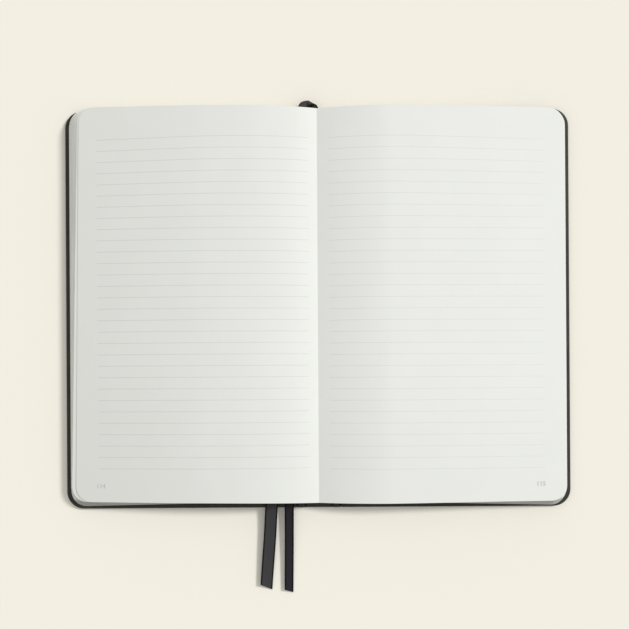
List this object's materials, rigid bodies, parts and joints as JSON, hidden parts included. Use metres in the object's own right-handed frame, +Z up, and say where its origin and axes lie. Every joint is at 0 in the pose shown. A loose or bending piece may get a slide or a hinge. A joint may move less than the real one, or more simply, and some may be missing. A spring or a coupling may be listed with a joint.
{
  "type": "open ribbon notebook",
  "caption": "Open hardcover ruled notebook lying flat, charcoal covers with rounded corners, numbered leaves and ribbon markers.",
  "frame": {"origin": "on the table under the middle of the spine, midway between head and tail", "axes": "+X across the spread to the back cover, +Y towards the head of the pages, +Z up from the table"},
  "size_m": [0.266, 0.2598, 0.0139],
  "materials": {
    "paper": "uncoated, ruled in pale grey",
    "lining": "open-weave crash cloth",
    "board": "grey board",
    "cover_skin": "fine-grained matt leatherette",
    "endpaper": "plain uncoated",
    "ribbon": "woven satin"
  },
  "bodies": {
    "book": {"text_block": "paper", "spine_lining": "lining", "spine_card": "board", "spine_skin": "cover_skin", "ribbon_left": "ribbon", "ribbon_right": "ribbon"},
    "front_cover": {"front_board": "board", "front_cover_skin": "cover_skin", "front_endpaper": "endpaper"},
    "back_cover": {"back_board": "board", "back_cover_skin": "cover_skin", "back_endpaper": "endpaper"}
  },
  "joints": [
    {"name": "front_cover_hinge", "type": "hinge", "parent": "book", "child": "front_cover", "pos_m": [-0.0093, 0, 0.00158], "axis": [0, -1, 0], "range_deg": [0, 90]},
    {"name": "back_cover_hinge", "type": "hinge", "parent": "book", "child": "back_cover", "pos_m": [0.0093, 0, 0.00158], "axis": [0, 1, 0], "range_deg": [0, 90]}
  ]
}
